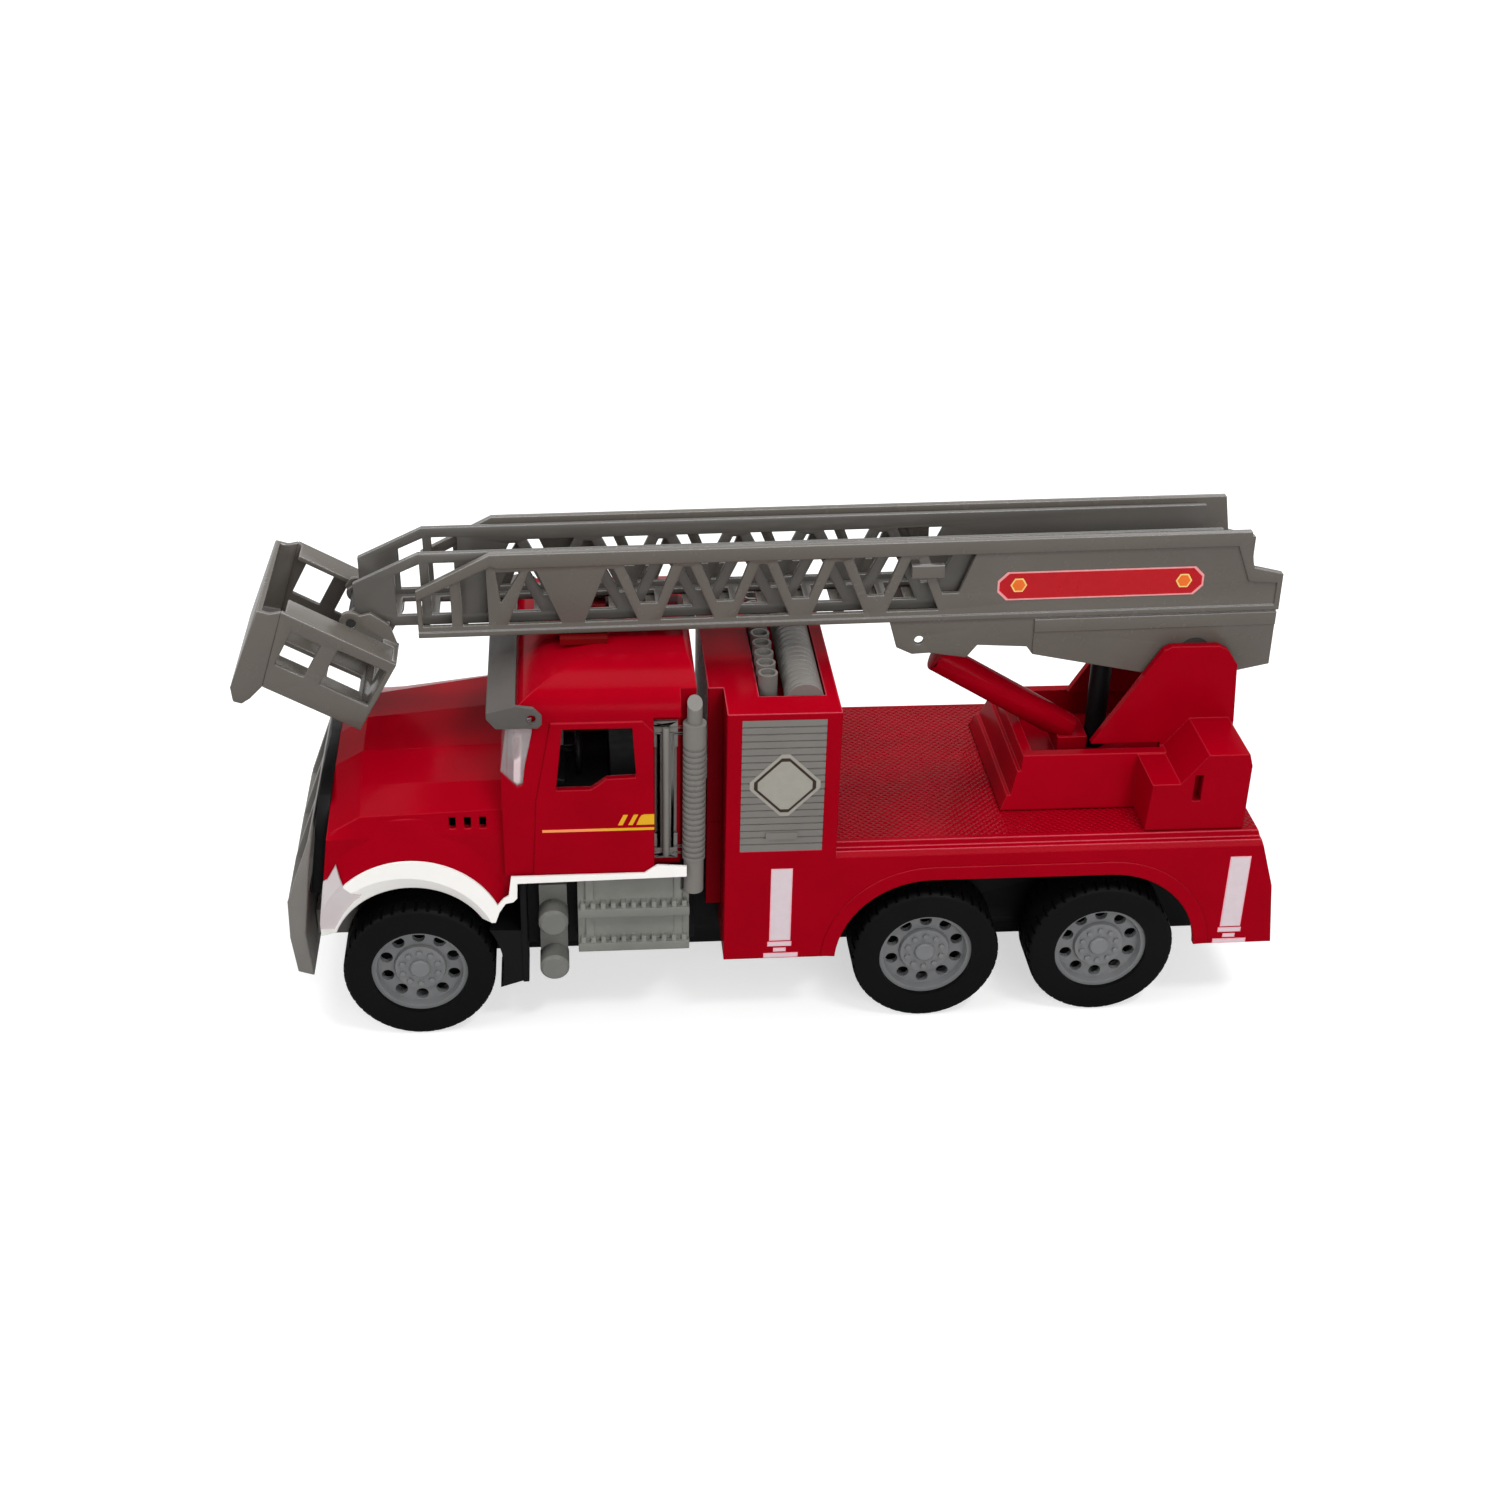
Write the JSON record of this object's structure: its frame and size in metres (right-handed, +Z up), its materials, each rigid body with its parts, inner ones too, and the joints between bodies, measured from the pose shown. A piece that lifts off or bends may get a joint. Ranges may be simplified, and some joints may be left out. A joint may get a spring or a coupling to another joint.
{
  "type": "toy fire engine with turntable ladder",
  "caption": "Toy fire engine: hooded cab, locker body and open deck with a turning, lifting and sliding ladder and a basket.",
  "frame": {"origin": "on the floor under the middle of the outer box", "axes": "+X forward, +Y to the driver's left, +Z up"},
  "size_m": [0.3152, 0.0928, 0.1513],
  "materials": {
    "red_plastic": "glossy red moulding",
    "black_plastic": "satin black moulding",
    "white_plastic": "white moulding",
    "clear_plastic": "clear moulding",
    "visor_grey": "grey moulding",
    "silver_plastic": "silver moulding",
    "lamp_red": "red lamp moulding",
    "tank_grey_green": "pale green-grey moulding",
    "tank_grey": "dark grey moulding",
    "ladder_grey": "warm grey moulding",
    "pin_grey": "dark grey pin",
    "tyre_rubber": "black soft plastic",
    "rim_grey": "silver-grey moulding",
    "axle_steel": "steel wire"
  },
  "bodies": {
    "truck": {"chassis": "black_plastic", "cab_floor": "black_plastic", "cab_shell": "red_plastic", "fender_trim_left": "white_plastic", "fender_trim_right": "white_plastic", "windscreen": "clear_plastic", "headlamp_left": "clear_plastic", "headlamp_right": "clear_plastic", "sun_visor": "visor_grey", "roof_lamps": "lamp_red", "cab_interior": "black_plastic", "grille": "black_plastic", "bumper": "silver_plastic", "exhaust_stack_left": "silver_plastic", "exhaust_stack_right": "silver_plastic", "grab_handle_left": "silver_plastic", "grab_handle_right": "silver_plastic", "fuel_tank_left": "tank_grey_green", "fuel_tank_right": "tank_grey_green", "air_tanks_left": "tank_grey", "air_tanks_right": "tank_grey", "rear_body": "red_plastic", "shutter_left": "silver_plastic", "shutter_right": "silver_plastic", "air_bottles": "silver_plastic", "hose_drum": "silver_plastic"},
    "front_wheels": {"tyres_front": "tyre_rubber", "rims_front": "rim_grey", "axle_front": "axle_steel"},
    "middle_wheels": {"tyres_middle": "tyre_rubber", "rims_middle": "rim_grey", "axle_middle": "axle_steel"},
    "rear_wheels": {"tyres_rear": "tyre_rubber", "rims_rear": "rim_grey", "axle_rear": "axle_steel"},
    "turntable": {"turntable": "red_plastic", "lift_strut": "red_plastic", "support_post": "black_plastic", "lift_pin": "pin_grey"},
    "ladder": {"ladder_rail_left": "ladder_grey", "ladder_rail_right": "ladder_grey", "ladder_rungs": "ladder_grey", "ladder_cradle": "ladder_grey"},
    "fly": {"fly_rail_left": "ladder_grey", "fly_rail_right": "ladder_grey", "fly_rungs": "ladder_grey"},
    "basket": {"basket_side_left": "ladder_grey", "basket_side_right": "ladder_grey", "basket_floor": "ladder_grey", "basket_shield": "ladder_grey", "basket_back": "ladder_grey", "basket_pin": "pin_grey"}
  },
  "joints": [
    {"name": "front_wheels_roll", "type": "hinge", "parent": "truck", "child": "front_wheels", "pos_m": [0.10734, 0, 0.023], "axis": [0, 1, 0], "continuous": true},
    {"name": "middle_wheels_roll", "type": "hinge", "parent": "truck", "child": "middle_wheels", "pos_m": [-0.04836, 0, 0.023], "axis": [0, 1, 0], "continuous": true},
    {"name": "rear_wheels_roll", "type": "hinge", "parent": "truck", "child": "rear_wheels", "pos_m": [-0.10376, 0, 0.023], "axis": [0, 1, 0], "continuous": true},
    {"name": "turntable_turn", "type": "hinge", "parent": "truck", "child": "turntable", "pos_m": [-0.10796, 0, 0.0643], "axis": [0, 0, 1], "continuous": true},
    {"name": "ladder_lift", "type": "hinge", "parent": "turntable", "child": "ladder", "pos_m": [-0.13046, 0, 0.1115], "axis": [0, -1, 0], "range_deg": [0, 60]},
    {"name": "fly_slide", "type": "slide", "parent": "ladder", "child": "fly", "axis": [0.9999, 0, -0.0157], "range_m": [0, 0.13]},
    {"name": "basket_tilt", "type": "hinge", "parent": "fly", "child": "basket", "pos_m": [0.123, 0, 0.12582], "axis": [0, -1, 0], "range_deg": [-30, 20]}
  ]
}
